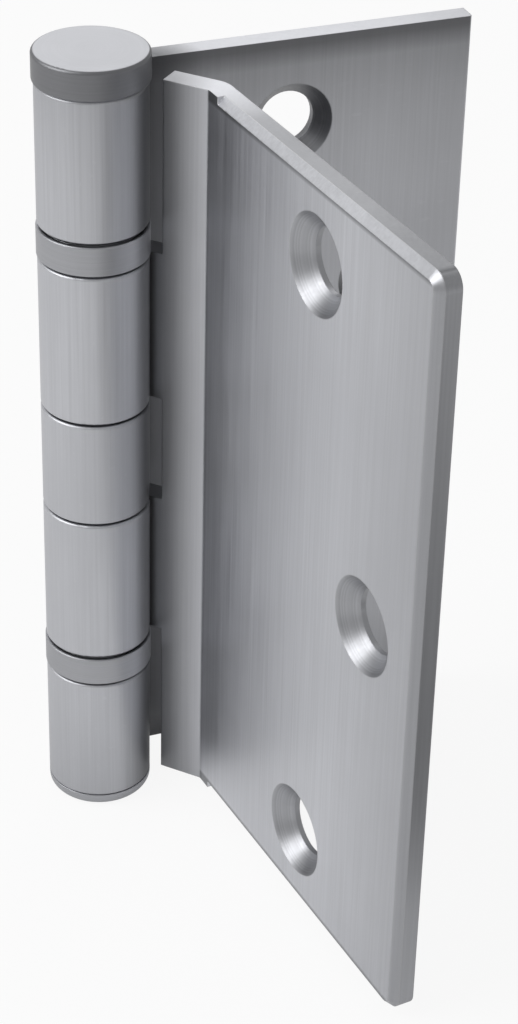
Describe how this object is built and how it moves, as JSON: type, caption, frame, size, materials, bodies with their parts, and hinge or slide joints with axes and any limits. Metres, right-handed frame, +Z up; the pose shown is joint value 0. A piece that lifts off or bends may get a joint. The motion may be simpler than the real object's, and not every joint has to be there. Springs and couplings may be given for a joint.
{
  "type": "half surface hinge",
  "caption": "Steel door hinge with a flat leaf for the jamb, a bevelled leaf for the door's face, a pin in a knuckled barrel and ball bearings.",
  "frame": {"origin": "on the jamb leaf's back face, midway between its upper and lower screw holes", "axes": "+X runs from the pin to the jamb leaf's free edge, +Y leaves the jamb leaf's back face, +Z runs up the pin towards its button head"},
  "size_m": [0.0652, 0.0742, 0.1206],
  "materials": {
    "jamb_leaf": "satin",
    "door_leaf": "satin",
    "pin": "satin",
    "tips": "satin",
    "bearing_cases": "satin",
    "races": "ground",
    "balls": "polished"
  },
  "bodies": {
    "jamb_side": {"jamb_leaf": "jamb_leaf", "hinge_pin": "pin", "bottom_tip": "tips", "upper_bearing_top_race": "races", "lower_bearing_bottom_race": "races", "lower_bearing_case": "bearing_cases"},
    "door_side": {"door_leaf": "door_leaf", "upper_bearing_bottom_race": "races", "upper_bearing_case": "bearing_cases", "lower_bearing_top_race": "races"},
    "upper_balls": {"upper_ball_01": "balls", "upper_ball_02": "balls", "upper_ball_03": "balls", "upper_ball_04": "balls", "upper_ball_05": "balls", "upper_ball_06": "balls", "upper_ball_07": "balls", "upper_ball_08": "balls", "upper_ball_09": "balls", "upper_ball_10": "balls", "upper_ball_11": "balls", "upper_ball_12": "balls"},
    "lower_balls": {"lower_ball_01": "balls", "lower_ball_02": "balls", "lower_ball_03": "balls", "lower_ball_04": "balls", "lower_ball_05": "balls", "lower_ball_06": "balls", "lower_ball_07": "balls", "lower_ball_08": "balls", "lower_ball_09": "balls", "lower_ball_10": "balls", "lower_ball_11": "balls", "lower_ball_12": "balls"}
  },
  "joints": [
    {"name": "leaf_swing", "type": "hinge", "parent": "jamb_side", "child": "door_side", "pos_m": [-0.0305, -0.0077, 0], "axis": [0, 0, 1], "range_deg": [-187, 18]},
    {"name": "upper_ball_orbit", "type": "hinge", "parent": "jamb_side", "child": "upper_balls", "pos_m": [-0.0305, -0.0077, 0], "axis": [0, 0, 1], "range_deg": [-93.5, 9]},
    {"name": "lower_ball_orbit", "type": "hinge", "parent": "jamb_side", "child": "lower_balls", "pos_m": [-0.0305, -0.0077, 0], "axis": [0, 0, 1], "range_deg": [-93.5, 9]}
  ],
  "couplings": [
    {"joint": "upper_ball_orbit", "follows": "leaf_swing", "ratio": 0.5},
    {"joint": "lower_ball_orbit", "follows": "leaf_swing", "ratio": 0.5}
  ]
}
